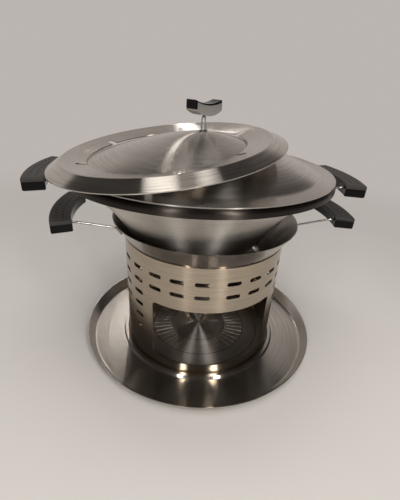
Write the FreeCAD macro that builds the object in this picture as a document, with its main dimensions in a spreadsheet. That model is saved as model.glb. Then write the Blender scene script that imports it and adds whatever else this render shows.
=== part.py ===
import FreeCAD, Part
import math
import os
import re
import Sketcher

# Table-top warmer set: a drip tray, a perforated burner stand, a lower pan, a wok-shaped upper pan,
# a domed lid with a knob, and a fork ring that lies askew on the lid.
# Millimetres, +Z up, origin on the table under the tray's centre. The burner opening faces -Y.

# Driving dimensions, each one a cell of the sheet
SIZES = {
    # Drip tray
    "tray_radius": 156.3,
    "tray_height": 14.2,
    "tray_floor_radius": 148.5,
    "tray_sheet": 1.0,
    "tray_wall": 1.2,
    "tray_bend": 3.0,
    "ridge_width": 7.8,
    "ridge_run": 2.0,
    "ridge_height": 3.0,
    "rib_inner_radius": 39.0,
    "rib_outer_radius": 66.0,
    "rib_width": 2.6,
    "rib_height": 0.4,
    "rib_count": 45,
    # Burner stand
    "stand_radius": 100.0,
    "stand_wall": 1.0,
    "stand_height": 150.9,
    "stand_clearance": 0.4,
    "opening_half_angle": 44.0,
    "opening_bottom": 15.0,
    "opening_top": 94.5,
    "opening_lower_corner": 10.0,
    "opening_upper_corner": 4.0,
    "slot_length": 17.0,
    "slot_width": 5.0,
    "slot_drop": 20.2,
    "slot_row_pitch": 16.65,
    "slot_first_angle": 10.0,
    "slot_side_angle": 58.0,
    "slot_last_angle": 170.0,
    "slot_upper_columns": 11,
    "slot_side_columns": 8,
    # Lower pan, hung by its flare in the stand's mouth
    "lower_floor_radius": 76.5,
    "lower_rim_radius": 113.8,
    "lower_height": 57.0,
    "lower_bend": 10.0,
    "seat_clearance": 0.3,
    # Both pans
    "pan_wall": 1.2,
    "pan_floor": 1.0,
    # Upper pan, standing on the lower pan's floor a little off its centre
    "water_gap": 18.3,
    "upper_knee_height": 70.0,
    "upper_height": 116.0,
    "upper_flare_angle": 42.0,
    "upper_base_bend": 25.0,
    "upper_knee_bend": 40.0,
    "lip_radius": 153.0,
    "lip_bend": 4.4,
    "lip_depth": 7.7,
    "upper_shift_left": 10.4,
    "upper_shift_back": 1.7,
    "upper_turn": 3.4,
    # Lid
    "lid_inset": 2.8,
    "lid_shift_right": 2.0,
    "lid_clearance": 0.2,
    "lid_sheet": 1.0,
    "flange_width": 16.0,
    "flange_rise": 1.0,
    "flange_bend": 9.0,
    "dome_height": 37.3,
    "dome_arc_radius": 450.0,
    "dome_flat_radius": 8.0,
    "dome_flat_bend": 40.0,
    # Fork ring
    "ring_hole_radius": 87.0,
    "ring_ridge_radius": 113.0,
    "ring_rim_radius": 128.5,
    "ring_rise": 5.9,
    "ring_drop": 1.8,
    "ring_sheet": 0.9,
    "ring_bend": 2.0,
    "ring_clearance": 0.3,
    "ring_shift": 41.9,
    "ring_tilt": 8.9,
    "ring_tilt_azimuth": 195.5,
    "notch_width": 7.0,
    "notch_depth": 11.0,
    "notch_count": 6,
    "notch_first_angle": 14.75,
    # Knob
    "knob_half_length": 19.5,
    "knob_depth": 17.0,
    "knob_height": 17.3,
    "knob_saddle_height": 28.6,
    "knob_lower_arc": 31.0,
    "knob_upper_arc": 52.0,
    "knob_bevel_size": 1.2,
    "knob_turn": 33.6,
    "saddle_half_width": 18.0,
    "saddle_sheet": 0.8,
    "saddle_margin": 1.6,
    "saddle_clearance": 0.1,
    "stem_wire_radius": 0.9,
    "stem_top_spread": 2.1,
    "stem_foot_spread": 3.2,
    "stem_bend": 1.7,
    "foot_radius": 2.2,
    "foot_height": 1.6,
    # Side grips, the same on both pans
    "grip_arc_radius": 163.0,
    "grip_width": 22.0,
    "grip_half_angle": 16.5,
    "grip_top_thickness": 4.5,
    "grip_base_thickness": 9.7,
    "grip_top_bend": 1.5,
    "grip_base_bend": 2.5,
    "lower_grip_reach": 157.5,
    "upper_grip_reach": 168.0,
    "lower_grip_lift": 7.0,
    "upper_grip_drop": 3.4,
    # Handle wires
    "wire_radius": 1.25,
    "wire_bend": 6.0,
    "wire_inset": 5.0,
    "wire_clearance": 0.15,
    "weld_gap": 0.1,
    "weld_leg": 11.0,
    "arm_root_spread": 35.0,
    "arm_grip_spread": 42.0,
    "arm_lead": 5.0,
    "lower_knee_drop": 3.0,
    "upper_knee_drop": 8.3,
    # Grip screws
    "screw_setback": 15.0,
    "screw_half_angle": 9.0,
    "screw_shank_radius": 1.25,
    "screw_head_radius": 2.4,
    "screw_head_height": 1.6,
    "screw_recess": 2.0,
    "screw_bite": 3.0,
    "screw_clearance": 0.1,
}

# Places worked out from the sheet
LOWER_SLOPE = "((lower_rim_radius - lower_floor_radius) / lower_height)"
STAND_TOP = "(tray_sheet + stand_height)"
STAND_MOUTH = "(stand_radius - stand_wall - seat_clearance)"
LOWER_BASE = f"({STAND_TOP} - (({STAND_MOUTH} - lower_floor_radius) / {LOWER_SLOPE}))"
UPPER_BASE = f"({LOWER_BASE} + pan_floor)"
UPPER_FLOOR_RADIUS = "(lower_floor_radius - water_gap)"
UPPER_KNEE_RADIUS = f"({UPPER_FLOOR_RADIUS} + {LOWER_SLOPE} * upper_knee_height)"
UPPER_FLARE = "tan(upper_flare_angle)"
LID_BASE = f"({UPPER_BASE} + upper_height + lid_clearance)"
LID_RADIUS = "(lip_radius - lid_inset)"
FLANGE_RADIUS = f"({LID_RADIUS} - flange_width)"
FLANGE_TOP = "(lid_sheet + flange_rise)"
LID_ACROSS = "(lid_shift_right - upper_shift_left)"
LOWER_GRIP_HEIGHT = f"({LOWER_BASE} + lower_height + lower_grip_lift)"
UPPER_GRIP_HEIGHT = f"({UPPER_BASE} + upper_height - lip_depth - upper_grip_drop)"

doc = FreeCAD.newDocument("warmer_set")
sheet = doc.addObject("Spreadsheet::Sheet", "Sheet")
for row, (alias, size) in enumerate(SIZES.items(), start=1):
    sheet.set(f"A{row}", alias)
    sheet.set(f"B{row}", str(size))
    sheet.setAlias(f"B{row}", alias)
doc.recompute()

sub_parts = []


def on_sheet(text):
    """Point every name of a size in an expression at its cell."""
    return re.sub(r"[a-z_]+", lambda word: f"Sheet.{word[0]}" if word[0] in SIZES else word[0], text)


def number(text):
    """Work an expression out from the sheet."""
    return float(sheet.evalExpression(on_sheet(text)))


def bind(feature, **sizes):
    """Bind properties of a feature to expressions."""
    for name, text in sizes.items():
        feature.setExpression(name, on_sheet(text))


def place(piece, across="0", along="0", up="0", turn="0", axis=(0, 0, 1)):
    """Give a sub-part its place and its turn about an axis."""
    heading = FreeCAD.Rotation(FreeCAD.Vector(*axis), number(turn))
    piece.Placement = FreeCAD.Placement(FreeCAD.Vector(), heading)
    for name, text in (("x", across), ("y", along), ("z", up)):
        piece.setExpression(f"Placement.Base.{name}", on_sheet(text))


def new_body(label):
    """Start a sub-part made of sketches and features."""
    body = doc.addObject("PartDesign::Body", label)
    body.Label = label
    sub_parts.append(body)
    return body


def origin_item(body, role):
    """Find one of a body's own origin planes or axes."""
    return next(item for item in body.Origin.OriginFeatures if item.Role == role)


def new_sketch(body, name, role, lift=None):
    """Start a sketch on an origin plane, raised by an expression if one is given."""
    sketch = body.newObject("Sketcher::SketchObject", name)
    sketch.AttachmentSupport = [(origin_item(body, role), "")]
    sketch.MapMode = "FlatFace"
    if lift:
        sketch.setExpression("AttachmentOffset.Base.z", on_sheet(lift))
    return sketch


def pin_point(sketch, geometry, point, across, up, name):
    """Hold a point of a sketch at two expressions."""
    for kind, text, axis in (("DistanceX", across, -2), ("DistanceY", up, -1)):
        value = number(text)
        if text == "0":
            sketch.addConstraint(Sketcher.Constraint("PointOnObject", geometry, point, axis))
            continue
        ends = (-1, 1, geometry, point) if value > 0 else (geometry, point, -1, 1)
        index = sketch.addConstraint(Sketcher.Constraint(kind, *ends, abs(value)))
        sketch.renameConstraint(index, f"{name}_{kind}")
        sketch.setExpression(f"Constraints.{name}_{kind}", on_sheet(text if value > 0 else f"-({text})"))


def arc_between(start, end, radius, turn):
    """Return the shorter arc from one point to another, anticlockwise for turn 1 and clockwise for -1."""
    chord = end - start
    reach = math.sqrt(radius ** 2 - (chord.Length / 2) ** 2)
    side = FreeCAD.Vector(-chord.y, chord.x, 0).normalize()
    middle = (start + end) / 2
    bulge = middle + side * turn * (reach - radius)
    return Part.Arc(start, bulge, end)


def outline(body, name, role, corners, arcs=None, lift=None, sketch=None):
    """Draw a closed outline, with each corner and each arc's radius bound to the sheet.

    arcs maps a corner's number to the radius and turn of the arc that leads to the next corner.
    """
    arcs = arcs or {}
    sketch = sketch or new_sketch(body, name, role, lift)
    first = sketch.GeometryCount
    points = [FreeCAD.Vector(number(across), number(up), 0) for across, up in corners]
    ends = []
    for index, start in enumerate(points):
        end = points[(index + 1) % len(points)]
        if index in arcs:
            radius, turn = arcs[index]
            sketch.addGeometry(arc_between(start, end, number(radius), turn), False)
            ends.append((1, 2) if turn > 0 else (2, 1))
        else:
            sketch.addGeometry(Part.LineSegment(start, end), False)
            ends.append((1, 2))
    for index, (across, up) in enumerate(corners):
        following = (index + 1) % len(corners)
        joined = (first + index, ends[index][1], first + following, ends[following][0])
        sketch.addConstraint(Sketcher.Constraint("Coincident", *joined))
        pin_point(sketch, first + index, ends[index][0], across, up, f"corner_{first + index}")
    for index, (radius, turn) in arcs.items():
        mark = sketch.addConstraint(Sketcher.Constraint("Radius", first + index, number(radius)))
        sketch.renameConstraint(mark, f"arc_{first + index}")
        sketch.setExpression(f"Constraints.arc_{first + index}", on_sheet(radius))
    return sketch


def circles(body, name, role, rounds, lift=None):
    """Draw circles, each one given by its centre and radius."""
    sketch = new_sketch(body, name, role, lift)
    for index, (across, up, radius) in enumerate(rounds):
        centre = FreeCAD.Vector(number(across), number(up), 0)
        sketch.addGeometry(Part.Circle(centre, FreeCAD.Vector(0, 0, 1), number(radius)), False)
        pin_point(sketch, index, 3, across, up, f"centre_{index}")
        mark = sketch.addConstraint(Sketcher.Constraint("Radius", index, number(radius)))
        sketch.renameConstraint(mark, f"round_{index}")
        sketch.setExpression(f"Constraints.round_{index}", on_sheet(radius))
    return sketch


def obround(middle_across, middle_up, length, width):
    """Return the corners and arcs of a slot with round ends."""
    half_run = f"(({length}) / 2 - ({width}) / 2)"
    half_width = f"(({width}) / 2)"
    half_length = f"(({length}) / 2)"
    corners = [
        (f"{middle_across} - {half_run}", f"{middle_up} - {half_width}"),
        (f"{middle_across} + {half_run}", f"{middle_up} - {half_width}"),
        (f"{middle_across} + {half_length}", middle_up),
        (f"{middle_across} + {half_run}", f"{middle_up} + {half_width}"),
        (f"{middle_across} - {half_run}", f"{middle_up} + {half_width}"),
        (f"{middle_across} - {half_length}", middle_up),
    ]
    return corners, {corner: (half_width, 1) for corner in (1, 2, 4, 5)}


def revolve(body, sketch, name):
    """Turn a profile about the sketch's upright axis."""
    feature = body.newObject("PartDesign::Revolution", name)
    feature.Profile = sketch
    feature.ReferenceAxis = (sketch, ["V_Axis"])
    feature.Angle = 360
    doc.recompute()
    return feature


def pad(body, sketch, name, length, side="One side", reverse=False):
    """Raise a sketch into a solid."""
    feature = body.newObject("PartDesign::Pad", name)
    feature.Profile = sketch
    feature.SideType = side
    feature.Reversed = reverse
    bind(feature, Length=length)
    doc.recompute()
    return feature


def pocket(body, sketch, name, length, side="One side", reverse=False):
    """Cut a sketch out of a solid, and stop if nothing came away."""
    before = body.Shape.Volume
    feature = body.newObject("PartDesign::Pocket", name)
    feature.Profile = sketch
    feature.SideType = side
    feature.Reversed = reverse
    bind(feature, Length=length)
    doc.recompute()
    if body.Shape.Volume >= before:
        raise RuntimeError(f"{name} cuts nothing from {body.Label}")
    return feature


def polar_pattern(body, feature, name, angle, count, reverse=False):
    """Repeat a feature about the upright axis."""
    pattern = body.newObject("PartDesign::PolarPattern", name)
    pattern.Originals = [feature]
    pattern.Axis = (origin_item(body, "Z_Axis"), [""])
    pattern.Reversed = reverse
    bind(pattern, Angle=angle, Occurrences=count)
    body.Tip = pattern
    doc.recompute()
    return pattern


def picked_edges(body, feature, name, edges):
    """Return the names of the edges of a feature that a test picks out."""
    names = [f"Edge{index}" for index, edge in enumerate(feature.Shape.Edges, start=1) if edges(edge)]
    if not names:
        raise RuntimeError(f"{name} finds no edge on {body.Label}")
    return names


def fillet(body, feature, name, radius, edges):
    """Round the edges of a feature that a test picks out."""
    rounding = body.newObject("PartDesign::Fillet", name)
    rounding.Base = (feature, picked_edges(body, feature, name, edges))
    bind(rounding, Radius=radius)
    doc.recompute()
    return rounding


def bevel(body, feature, name, size, edges):
    """Bevel the edges of a feature that a test picks out."""
    slant = body.newObject("PartDesign::Chamfer", name)
    slant.Base = (feature, picked_edges(body, feature, name, edges))
    bind(slant, Size=size)
    doc.recompute()
    return slant


def circle_at(radius, height):
    """Return a test for the whole circle of a radius at a height about the upright axis."""
    wanted_radius, wanted_height, slack = number(radius), number(height), 0.001

    def test(edge):
        if edge.Degenerated or not isinstance(edge.Curve, Part.Circle):
            return False
        circle = edge.Curve
        return abs(circle.Radius - wanted_radius) < slack and abs(circle.Center.z - wanted_height) < slack
    return test


def level_at(height):
    """Return a test for the edges that lie flat at a height."""
    wanted, slack = number(height), 0.001

    def test(edge):
        box = edge.BoundBox
        return abs(box.ZMin - wanted) < slack and abs(box.ZMax - wanted) < slack
    return test


def bent_wire(points, bend, radius):
    """Sweep a round section along straight runs joined by tangent arcs."""
    edges = []
    start = points[0]
    for before, corner, after in zip(points, points[1:], points[2:]):
        back = (before - corner).normalize()
        onward = (after - corner).normalize()
        opening = back.getAngle(onward)
        setback = bend / math.tan(opening / 2)
        middle = corner + (back + onward).normalize() * (bend / math.sin(opening / 2) - bend)
        arc_start = corner + back * setback
        arc_end = corner + onward * setback
        edges.append(Part.LineSegment(start, arc_start).toShape())
        edges.append(Part.Arc(arc_start, middle, arc_end).toShape())
        start = arc_end
    edges.append(Part.LineSegment(start, points[-1]).toShape())
    path = Part.Wire(edges)
    section = Part.Wire(Part.makeCircle(radius, points[0], points[1] - points[0]))
    solid = path.makePipeShell([section], True, False)
    expected = math.pi * radius ** 2 * path.Length
    if abs(solid.Volume - expected) > 0.01 * expected:
        raise RuntimeError("a bent wire has the wrong volume")
    return solid


def make_tray():
    """Drip tray: pressed sheet with a sloping wall, a ridge round the stand and a ring of radial ribs."""
    body = new_body("tray")
    ridge_in = "(stand_radius + stand_clearance)"
    ridge_out = f"({ridge_in} + ridge_width)"
    crest = "(tray_sheet + ridge_height)"
    half_sheet = "tray_sheet / 2"
    wall_slope = "((tray_radius - tray_floor_radius) / tray_height)"
    inner_foot = f"tray_floor_radius + {wall_slope} * tray_sheet - tray_wall"
    profile = outline(body, "tray_profile", "XZ_Plane", [
        ("0", "0"),
        (f"{ridge_in} + {half_sheet}", "0"),
        (f"{ridge_in} + ridge_run + {half_sheet}", "ridge_height"),
        (f"{ridge_out} - ridge_run - {half_sheet}", "ridge_height"),
        (f"{ridge_out} - {half_sheet}", "0"),
        ("tray_floor_radius", "0"),
        ("tray_radius", "tray_height"),
        ("tray_radius - tray_wall", "tray_height"),
        (inner_foot, "tray_sheet"),
        (ridge_out, "tray_sheet"),
        (f"{ridge_out} - ridge_run", crest),
        (f"{ridge_in} + ridge_run", crest),
        (ridge_in, "tray_sheet"),
        ("0", "tray_sheet"),
    ])
    dish = revolve(body, profile, "tray_dish")
    outside = circle_at("tray_floor_radius", "0")
    outer = fillet(body, dish, "tray_outer_bend", "tray_bend + tray_sheet", outside)
    fillet(body, outer, "tray_inner_bend", "tray_bend", circle_at(inner_foot, "tray_sheet"))
    middle = "(rib_inner_radius + rib_outer_radius) / 2"
    corners, arcs = obround(middle, "0", "rib_outer_radius - rib_inner_radius", "rib_width")
    rib_sketch = outline(body, "rib_outline", "XY_Plane", corners, arcs, lift="tray_sheet")
    rib = pad(body, rib_sketch, "rib", "rib_height")
    polar_pattern(body, rib, "rib_ring", "360", "rib_count")


def make_stand():
    """Burner stand: a tube with a burner opening in front and rows of slots round it."""
    body = new_body("stand")
    rounds = [("0", "0", "stand_radius"), ("0", "0", "stand_radius - stand_wall")]
    pad(body, circles(body, "stand_ring", "XY_Plane", rounds), "stand_tube", "stand_height")
    half = "(stand_radius * sin(opening_half_angle))"
    low, high = "opening_lower_corner", "opening_upper_corner"
    opening = outline(body, "opening_outline", "XZ_Plane", [
        (f"-{half} + {low}", "opening_bottom"),
        (f"{half} - {low}", "opening_bottom"),
        (half, f"opening_bottom + {low}"),
        (half, f"opening_top - {high}"),
        (f"{half} - {high}", "opening_top"),
        (f"-{half} + {high}", "opening_top"),
        (f"-{half}", f"opening_top - {high}"),
        (f"-{half}", f"opening_bottom + {low}"),
    ], {1: (low, 1), 3: (high, 1), 5: (high, 1), 7: (low, 1)})
    pocket(body, opening, "burner_opening", "stand_radius + stand_wall", reverse=True)
    banks = (
        ("upper", range(0, 2), "slot_first_angle", "slot_upper_columns"),
        ("side", range(2, 6), "slot_side_angle", "slot_side_columns"),
    )
    for name, rows, first_angle, columns in banks:
        for side, sign in (("right", 1), ("left", -1)):
            sketch = new_sketch(body, f"{name}_{side}_slots", "XZ_Plane")
            turn = FreeCAD.Rotation(FreeCAD.Vector(0, 1, 0), sign * number(first_angle))
            sketch.AttachmentOffset = FreeCAD.Placement(FreeCAD.Vector(), turn)
            for slot_row in rows:
                height = f"(stand_height - slot_drop - {slot_row} * slot_row_pitch)"
                corners, arcs = obround("0", height, "slot_length", "slot_width")
                outline(body, sketch.Name, "XZ_Plane", corners, arcs, sketch=sketch)
            cut = pocket(body, sketch, f"{name}_{side}_cut", "stand_radius + stand_wall", reverse=True)
            sweep = f"slot_last_angle - {first_angle}"
            polar_pattern(body, cut, f"{name}_{side}_bank", sweep, columns, reverse=sign < 0)
    place(body, up="tray_sheet")


def make_lower_pan():
    """Lower pan: a flared dish whose cone hangs in the stand's mouth."""
    body = new_body("lower_pan")
    inner_foot = f"lower_floor_radius + {LOWER_SLOPE} * pan_floor - pan_wall"
    profile = outline(body, "lower_profile", "XZ_Plane", [
        ("0", "0"),
        ("lower_floor_radius", "0"),
        ("lower_rim_radius", "lower_height"),
        ("lower_rim_radius - pan_wall", "lower_height"),
        (inner_foot, "pan_floor"),
        ("0", "pan_floor"),
    ])
    dish = revolve(body, profile, "lower_dish")
    outside = circle_at("lower_floor_radius", "0")
    outer = fillet(body, dish, "lower_outer_bend", "lower_bend + pan_floor", outside)
    fillet(body, outer, "lower_inner_bend", "lower_bend", circle_at(inner_foot, "pan_floor"))
    place(body, up=LOWER_BASE)


def make_upper_pan():
    """Upper pan: a wok-shaped bowl with a flared wall and a turned-down lip."""
    body = new_body("upper_pan")
    flat_under = "upper_height - pan_floor"
    inner_foot = f"{UPPER_FLOOR_RADIUS} + {LOWER_SLOPE} * pan_floor - pan_wall"
    inner_knee = f"{UPPER_KNEE_RADIUS} - pan_wall"
    wall_top = f"{UPPER_KNEE_RADIUS} + {UPPER_FLARE} * (upper_height - upper_knee_height)"
    under_bend = "lip_bend - pan_floor"
    profile = outline(body, "upper_profile", "XZ_Plane", [
        ("0", "0"),
        (UPPER_FLOOR_RADIUS, "0"),
        (UPPER_KNEE_RADIUS, "upper_knee_height"),
        (f"{wall_top} - {UPPER_FLARE} * pan_floor", flat_under),
        ("lip_radius - lip_bend", flat_under),
        ("lip_radius - pan_floor", "upper_height - lip_bend"),
        ("lip_radius - pan_floor", "upper_height - lip_depth"),
        ("lip_radius", "upper_height - lip_depth"),
        ("lip_radius", "upper_height - lip_bend"),
        ("lip_radius - lip_bend", "upper_height"),
        (f"{wall_top} - pan_wall", "upper_height"),
        (inner_knee, "upper_knee_height"),
        (inner_foot, "pan_floor"),
        ("0", "pan_floor"),
    ], {4: (under_bend, -1), 8: ("lip_bend", 1)})
    bowl = revolve(body, profile, "upper_bowl")
    bends = (
        ("base_outer", "upper_base_bend + pan_floor", UPPER_FLOOR_RADIUS, "0"),
        ("base_inner", "upper_base_bend", inner_foot, "pan_floor"),
        ("knee_outer", "upper_knee_bend", UPPER_KNEE_RADIUS, "upper_knee_height"),
        ("knee_inner", "upper_knee_bend", inner_knee, "upper_knee_height"),
    )
    for name, bend, radius, height in bends:
        bowl = fillet(body, bowl, f"upper_{name}_bend", bend, circle_at(radius, height))
    place(body, "-upper_shift_left", "upper_shift_back", UPPER_BASE)


def make_lid():
    """Lid: a shallow peaked dome with a flat for the knob and a flange that rests on the upper pan's lip."""
    body = new_body("lid")
    under_top = "dome_height - lid_sheet"
    profile = outline(body, "lid_profile", "XZ_Plane", [
        (LID_RADIUS, "0"),
        (LID_RADIUS, "lid_sheet"),
        (FLANGE_RADIUS, FLANGE_TOP),
        ("dome_flat_radius", "dome_height"),
        ("0", "dome_height"),
        ("0", under_top),
        ("dome_flat_radius", under_top),
        (FLANGE_RADIUS, "flange_rise"),
    ], {2: ("dome_arc_radius", 1), 6: ("dome_arc_radius", -1)})
    dome = revolve(body, profile, "lid_dome")
    bends = (
        ("flange_outer", "flange_bend", FLANGE_RADIUS, FLANGE_TOP),
        ("flange_inner", "flange_bend", FLANGE_RADIUS, "flange_rise"),
        ("top_outer", "dome_flat_bend", "dome_flat_radius", "dome_height"),
        ("top_inner", "dome_flat_bend", "dome_flat_radius", under_top),
    )
    for name, bend, radius, height in bends:
        dome = fillet(body, dome, f"lid_{name}_bend", bend, circle_at(radius, height))
    place(body, LID_ACROSS, "upper_shift_back", LID_BASE)


def dome_level(radius):
    """Work out the height of the lid's dome above its base at a radius."""
    foot_radius, foot_height = number(FLANGE_RADIUS), number(FLANGE_TOP)
    top_radius, top_height = number("dome_flat_radius"), number("dome_height")
    arc_radius = number("dome_arc_radius")
    across = (foot_radius - top_radius) / 2
    fall = (top_height - foot_height) / 2
    half_chord = math.hypot(across, fall)
    depth = math.sqrt(arc_radius ** 2 - half_chord ** 2) / half_chord
    centre_radius = top_radius + across - fall * depth
    centre_height = top_height - fall - across * depth
    return centre_height + math.sqrt(arc_radius ** 2 - (max(radius, top_radius) - centre_radius) ** 2)


def ring_rest_height():
    """Work out how high above the lid's base the tilted ring comes to rest on the dome."""
    hole_radius, shift = number("ring_hole_radius"), number("ring_shift")
    tilt = math.radians(number("ring_tilt"))
    lifts = []
    for degrees in range(0, 360, 2):
        along = hole_radius * math.cos(math.radians(degrees))
        aside = hole_radius * math.sin(math.radians(degrees))
        radius = math.hypot(shift + along * math.cos(tilt), aside)
        lifts.append(dome_level(radius) + along * math.sin(tilt))
    return max(lifts) + number("ring_clearance")


def make_fork_ring():
    """Fork ring: a bevelled ring with fork notches, slipped to one side on the lid's dome."""
    body = new_body("fork_ring")
    profile = outline(body, "ring_profile", "XZ_Plane", [
        ("ring_hole_radius", "0"),
        ("ring_ridge_radius", "ring_rise"),
        ("ring_rim_radius", "-ring_drop"),
        ("ring_rim_radius", "ring_sheet - ring_drop"),
        ("ring_ridge_radius", "ring_rise + ring_sheet"),
        ("ring_hole_radius", "ring_sheet"),
    ])
    band = revolve(body, profile, "ring_band")
    crest = circle_at("ring_ridge_radius", "ring_rise + ring_sheet")
    outer = fillet(body, band, "ring_outer_bend", "ring_bend + ring_sheet", crest)
    fillet(body, outer, "ring_inner_bend", "ring_bend", circle_at("ring_ridge_radius", "ring_rise"))
    sketch = new_sketch(body, "notch_outline", "XY_Plane")
    turn = FreeCAD.Rotation(FreeCAD.Vector(0, 0, 1), number("notch_first_angle"))
    sketch.AttachmentOffset = FreeCAD.Placement(FreeCAD.Vector(), turn)
    end = "(ring_hole_radius + notch_depth)"
    half = "(notch_width / 2)"
    outline(body, "notch_outline", "XY_Plane", [
        ("ring_hole_radius - notch_width", f"-{half}"),
        (f"{end} - {half}", f"-{half}"),
        (end, "0"),
        (f"{end} - {half}", half),
        ("ring_hole_radius - notch_width", half),
    ], {1: (half, 1), 2: (half, 1)}, sketch=sketch)
    reach = "2 * (ring_rise + ring_sheet)"
    notch = pocket(body, sketch, "notch", reach, side="Symmetric")
    polar_pattern(body, notch, "notch_ring", "360", "notch_count")
    azimuth = math.radians(number("ring_tilt_azimuth"))
    place(
        body,
        f"ring_shift * cos(ring_tilt_azimuth) + {LID_ACROSS}",
        "ring_shift * sin(ring_tilt_azimuth) + upper_shift_back",
        f"{LID_BASE} + {ring_rest_height()}",
        "ring_tilt",
        (-math.sin(azimuth), math.cos(azimuth), 0),
    )


def place_on_lid(piece):
    """Stand a piece of the knob on the top of the lid, turned as the knob is."""
    place(piece, LID_ACROSS, "upper_shift_back", f"{LID_BASE} + dome_height", "knob_turn")


def arc_rise(radius, across):
    """Return the expression for how far an arc has risen from its lowest point at a distance across."""
    return f"({radius} - sqrt(({radius}) ^ 2 - ({across}) ^ 2))"


def make_knob_grip():
    """Knob grip: a crescent with a hollow top, bevelled all round its two sides."""
    body = new_body("knob_grip")
    end_low = f"knob_height + {arc_rise('knob_lower_arc', 'knob_half_length')}"
    end_high = f"knob_saddle_height + {arc_rise('knob_upper_arc', 'knob_half_length')}"
    profile = outline(body, "knob_profile", "XZ_Plane", [
        ("knob_half_length", end_low),
        ("knob_half_length", end_high),
        ("-knob_half_length", end_high),
        ("-knob_half_length", end_low),
    ], {1: ("knob_upper_arc", -1), 3: ("knob_lower_arc", 1)})
    crescent = pad(body, profile, "crescent", "knob_depth", side="Symmetric")
    face_depth = number("knob_depth / 2")

    def side_edge(edge):
        box = edge.BoundBox
        return abs(abs(box.YMin) - face_depth) < 0.001 and abs(box.YMax - box.YMin) < 0.001
    bevel(body, crescent, "knob_bevel", "knob_bevel_size", side_edge)
    place_on_lid(body)


def make_knob_saddle():
    """Knob saddle: a bright strap under the crescent, with plates up both of its sides."""
    body = new_body("knob_saddle")
    outer_arc = "(knob_lower_arc + saddle_clearance + saddle_sheet)"
    inner_arc = "(knob_lower_arc + saddle_clearance)"
    outer_foot = "(knob_height - saddle_clearance - saddle_sheet)"
    inner_foot = "(knob_height - saddle_clearance)"
    width = "saddle_half_width"
    wide = "(saddle_half_width + saddle_sheet)"
    side_low = f"{outer_foot} + {arc_rise(outer_arc, width)}"
    side_high = f"knob_saddle_height + {arc_rise('knob_upper_arc', width)} - saddle_margin"
    strap = outline(body, "strap_profile", "XZ_Plane", [
        ("0", outer_foot),
        (width, side_low),
        (width, side_high),
        (f"-{width}", side_high),
        (f"-{width}", side_low),
    ], {0: (outer_arc, 1), 2: ("knob_upper_arc", -1), 4: (outer_arc, 1)})
    hollow_depth = "knob_depth + 2 * saddle_clearance"
    pad(body, strap, "strap", f"{hollow_depth} + 2 * saddle_sheet", side="Symmetric")
    over = f"{side_high} + saddle_sheet"
    hollow = outline(body, "hollow_profile", "XZ_Plane", [
        ("0", inner_foot),
        (wide, f"{inner_foot} + {arc_rise(inner_arc, wide)}"),
        (wide, over),
        (f"-{wide}", over),
        (f"-{wide}", f"{inner_foot} + {arc_rise(inner_arc, wide)}"),
    ], {0: (inner_arc, 1), 4: (inner_arc, 1)})
    pocket(body, hollow, "strap_hollow", hollow_depth, side="Symmetric")
    place_on_lid(body)


def make_knob_stem():
    """Knob stem: a hairpin of wire under the saddle, on two small feet."""
    stem = doc.addObject("Part::Feature", "knob_wire")
    stem.Label = "knob_wire"
    top = number("knob_height - saddle_clearance - saddle_sheet - saddle_clearance - stem_wire_radius")
    low = number("foot_height + saddle_clearance")
    spread, foot = number("stem_top_spread"), number("stem_foot_spread")
    path = [
        FreeCAD.Vector(-foot, 0, low),
        FreeCAD.Vector(-spread, 0, top),
        FreeCAD.Vector(spread, 0, top),
        FreeCAD.Vector(foot, 0, low),
    ]
    stem.Shape = bent_wire(path, number("stem_bend"), number("stem_wire_radius"))
    place_on_lid(stem)
    sub_parts.append(stem)
    feet = []
    for side, across in (("left", "-stem_foot_spread"), ("right", "stem_foot_spread")):
        foot_disc = doc.addObject("Part::Cylinder", f"{side}_knob_foot")
        bind(foot_disc, Radius="foot_radius", Height="foot_height")
        place(foot_disc, across)
        feet.append(foot_disc)
    pair = doc.addObject("Part::Compound", "knob_feet")
    pair.Label = "knob_feet"
    pair.Links = feet
    place_on_lid(pair)
    sub_parts.append(pair)


def grip_outline(body, name):
    """Draw the plan of a side grip: a stretch of a ring with radial ends."""
    inner, outer = "grip_arc_radius", "(grip_arc_radius + grip_width)"
    across, aside = "cos(grip_half_angle)", "sin(grip_half_angle)"
    return outline(body, name, "XY_Plane", [
        (f"{inner} * {across}", f"-{inner} * {aside}"),
        (f"{outer} * {across}", f"-{outer} * {aside}"),
        (outer, "0"),
        (f"{outer} * {across}", f"{outer} * {aside}"),
        (f"{inner} * {across}", f"{inner} * {aside}"),
        (inner, "0"),
    ], {1: (outer, 1), 2: (outer, 1), 4: (inner, -1), 5: (inner, -1)})


def wire_channel(body, name):
    """Draw the channel that a handle wire lies in between the halves of its grip."""
    room = "(wire_radius + wire_clearance)"
    run = "(grip_arc_radius + wire_inset)"
    start = "(grip_arc_radius - grip_width)"
    outside = f"(arm_grip_spread + {room})"
    inside = f"(arm_grip_spread - {room})"
    return outline(body, name, "XY_Plane", [
        (start, f"-{outside}"),
        (f"{run} + {room}", f"-{outside}"),
        (f"{run} + {room}", outside),
        (start, outside),
        (start, inside),
        (f"{run} - wire_bend", inside),
        (f"{run} - {room}", "arm_grip_spread - wire_bend"),
        (f"{run} - {room}", "-(arm_grip_spread - wire_bend)"),
        (f"{run} - wire_bend", f"-{inside}"),
        (start, f"-{inside}"),
    ])


def screw_places():
    """Return the two places of a grip's screws in its plan."""
    circle = "(grip_arc_radius + screw_setback)"
    across = f"{circle} * cos(screw_half_angle)"
    aside = f"{circle} * sin(screw_half_angle)"
    return [(across, aside), (across, f"-{aside}")]


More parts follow.
